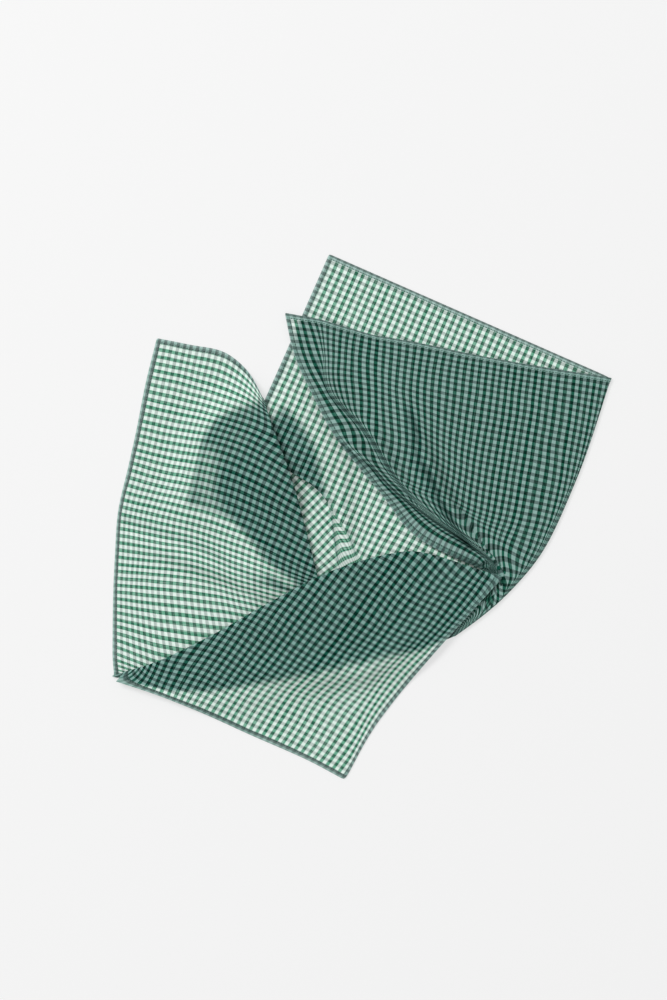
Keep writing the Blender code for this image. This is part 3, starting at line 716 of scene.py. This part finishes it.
# painted shade: the colour beside creases and under the flap's edge, where the shade passes 1
IN_SHADE = (0.001, 0.010, 0.008)
SHADE_STRENGTH = 0.55
HEM_GREYNESS = 0.55  # turned over twice, the hem loses green
HEM_DARKNESS = 0.85  # its three plies take painted shade almost as dark as a doubled layer's
HEM_EDGE = 2.5  # sharpness of its inner edge
STITCH_IN = 3.5  # from the edge of the cloth to the row of stitches
STITCH = 2.6  # from one stitch to the next
STITCH_SHARE = 0.65  # of that length is thread
STITCH_WIDTH = 0.7
STITCHES = (0.013, 0.045, 0.032)
OPENNESS = 0.42  # share of the light that comes through between white threads
CLOSED_BY = {"green": 0.62, "grey": 0.5, "doubled": 0.8}

voile = bpy.data.materials.new("gingham_voile")
voile.use_nodes = True
tree = voile.node_tree
tree.nodes.clear()
wire = Wire(tree)
uv_map = wire.node("ShaderNodeUVMap", {"uv_map": "flat cloth"})
s = wire.node("ShaderNodeSeparateXYZ", sockets={0: uv_map}, output="X") * SIDE
t = wire.node("ShaderNodeSeparateXYZ", sockets={0: uv_map}, output="Y") * SIDE


def noise(x, y, scale, detail=2):
    """Soft noise from 0 to 1 on the flat cloth, in mm."""
    at = wire.node("ShaderNodeCombineXYZ", sockets={"X": x, "Y": y})
    sockets = {"Vector": at, "Scale": scale, "Detail": detail}
    return wire.node("ShaderNodeTexNoise", {"noise_dimensions": "2D"}, sockets)


def stripe(across, repeat):
    """1 in the coloured half of each repeat and 0 in the white half."""
    phase = wire.maths("FRACT", across / repeat)
    away = wire.maths("ABSOLUTE", phase - 0.5)
    return wire.maths("MULTIPLY_ADD", 0.25 - away, repeat / EDGE_SOFTNESS, 0.5, clamp=True)


def threads(across, along):
    """Each thread's own darkness, with slubs along it."""
    number = wire.maths("FLOOR", across / THREAD)
    own = wire.node("ShaderNodeTexWhiteNoise", {"noise_dimensions": "1D"}, {"W": number})
    slubs = noise(across * SLUB_STRETCH[0], along * SLUB_STRETCH[1], 1.0)
    return (own - 0.5) * OWN_STRENGTH + (slubs - 0.5) * SLUBS


s = s + (noise(s, t, WAVER_SCALE) - 0.5) * WAVER
t = t + (noise(t + WAVER_SHIFT, s, WAVER_SCALE) - 0.5) * WAVER
s_thread = threads(s, t)
t_thread = threads(t, s)
from_side = wire.maths("MINIMUM", wire.maths("MINIMUM", s, SIDE - s),
                       wire.maths("MINIMUM", t, SIDE - t))
hem = wire.maths("MULTIPLY_ADD", HEM - from_side, HEM_EDGE, 0.5, clamp=True)
green = wire.maths("MULTIPLY_ADD", stripe(s, GREEN_REPEAT), 1 + s_thread,
                   s_thread * DYE_ON_WHITE, clamp=True)
green = green * (1 - hem * HEM_GREYNESS)
grey = wire.maths("MULTIPLY_ADD", stripe(t, GREY_REPEAT), 1 + t_thread,
                  t_thread * DYE_ON_WHITE, clamp=True)


def blend(factor, a, b):
    """One colour turning into the other."""
    a = a if isinstance(a, Wire) else (*a, 1)
    b = b if isinstance(b, Wire) else (*b, 1)
    return wire.node("ShaderNodeMix", {"data_type": "RGBA"}, {0: factor, 6: a, 7: b}, output=2)


def check(colours):
    """The check's colour where it lies: white, green, grey, and dark where two stripes cross."""
    plain = blend(grey, colours["white"], colours["grey"])
    crossed = blend(grey, colours["green"], colours["crossing"])
    return blend(green, plain, crossed)


# Painted shade: where other cloth lies beneath, and on the hem's plies, the check turns to its darker,
# shaded copy
shade = wire.node("ShaderNodeAttribute", {"attribute_name": "shade below"}, output="Fac")
doubled = wire.maths("MINIMUM", wire.maths("MAXIMUM", shade, hem * HEM_DARKNESS), 1)
colour = blend(doubled, check(ON_FLOOR), check(SHADED_ON_CLOTH))
# Painted shade of the creases, where their shade lifts the shade past 1
in_shade = wire.maths("MULTIPLY", shade - 1, SHADE_STRENGTH, clamp=True)
colour = blend(in_shade, colour, IN_SHADE)
from_row = wire.maths("ABSOLUTE", from_side - STITCH_IN)
in_row = wire.maths("MULTIPLY_ADD", from_row, -1 / STITCH_WIDTH, 1, clamp=True)
in_stitch = wire.maths("LESS_THAN", wire.maths("FRACT", (s + t) / STITCH), STITCH_SHARE)
colour = blend(in_row * in_stitch, colour, STITCHES)
open_weave = (1 - green * CLOSED_BY["green"]) * (1 - grey * CLOSED_BY["grey"])
open_weave = open_weave * (1 - doubled * CLOSED_BY["doubled"]) * OPENNESS

# Fine weave and a faint crinkle in the surface, in mm
WEAVE_DEPTH = 0.03
CRINKLE_DEPTH = 0.8
CRINKLE_SCALE = 0.09

weave = wire.maths("SINE", s * (math.pi / THREAD)) * wire.maths("SINE", t * (math.pi / THREAD))
crinkle = noise(s, t, CRINKLE_SCALE, 4)
height = weave * WEAVE_DEPTH + crinkle * CRINKLE_DEPTH
bump = wire.node("ShaderNodeBump", sockets={"Strength": 0.6, "Distance": MM, "Height": height})
surface = wire.node("ShaderNodeBsdfPrincipled", sockets={
    "Base Color": colour, "Roughness": 0.85, "Specular IOR Level": 0.02, "Normal": bump})
clear = wire.node("ShaderNodeBsdfTransparent", sockets={"Color": (1, 1, 1, 1)})
sheer = wire.node("ShaderNodeMixShader", sockets={0: open_weave, 1: surface, 2: clear})
wire.node("ShaderNodeOutputMaterial", sockets={"Surface": sheer})
cloth_mesh.materials.clear()
cloth_mesh.materials.append(voile)

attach(cloth, "root")
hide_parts("bandana")


# The floor
# A plain pale sheet, faintly luminous like a light table, so that the cloth casts almost no shadow
# and single layers look bright.
FLOOR_SIZE = 40.0  # in m
FLOOR_GREY = (0.30, 0.30, 0.30, 1)
FLOOR_GLOW = 0.585

bm = bmesh.new()
bmesh.ops.create_grid(bm, x_segments=1, y_segments=1, size=FLOOR_SIZE / 2)
floor_mesh = bpy.data.meshes.new("floor")
bm.to_mesh(floor_mesh)
bm.free()
floor = bpy.data.objects.new("floor", floor_mesh)
bpy.context.collection.objects.link(floor)
pale = bpy.data.materials.new("pale_floor")
pale.use_nodes = True
pale_surface = pale.node_tree.nodes["Principled BSDF"]
pale_surface.inputs["Base Color"].default_value = FLOOR_GREY
pale_surface.inputs["Roughness"].default_value = 0.9
pale_surface.inputs["Specular IOR Level"].default_value = 0.1
pale_surface.inputs["Emission Color"].default_value = (1, 1, 1, 1)
pale_surface.inputs["Emission Strength"].default_value = FLOOR_GLOW
floor_mesh.materials.append(pale)


# The lights and the camera
# An even pale sky, with one large soft light from the upper left. The camera looks straight down.
# Lengths are in m.
SKY = 0.58
SOFT_LIGHT = 195.0  # in W
SOFT_SIZE = 2.4
SOFT_PLACE = (-2.75, 2.5, 3.75)
CAMERA_HEIGHT = 2.6
FRAME_HEIGHT = 0.875  # what the picture takes in, from its bottom to its top
FRAME_MIDDLE = (-0.0247, 0.0146)

world = bpy.data.worlds.new("studio")
world.use_nodes = True
world.node_tree.nodes["Background"].inputs["Color"].default_value = (1, 1, 1, 1)
world.node_tree.nodes["Background"].inputs["Strength"].default_value = SKY
bpy.context.scene.world = world
soft = bpy.data.lights.new("soft_light", "AREA")
soft.shape = "DISK"
soft.size = SOFT_SIZE
soft.energy = SOFT_LIGHT
soft_light = bpy.data.objects.new("soft_light", soft)
soft_light.location = SOFT_PLACE
soft_light.rotation_euler = (-soft_light.location).to_track_quat("-Z", "Y").to_euler()
bpy.context.collection.objects.link(soft_light)

lens = bpy.data.cameras.new("camera")
lens.lens = lens.sensor_width * CAMERA_HEIGHT / FRAME_HEIGHT
camera = bpy.data.objects.new("camera", lens)
camera.location = (*FRAME_MIDDLE, CAMERA_HEIGHT)
bpy.context.collection.objects.link(camera)
bpy.context.scene.camera = camera
bpy.context.scene.view_settings.view_transform = "Standard"
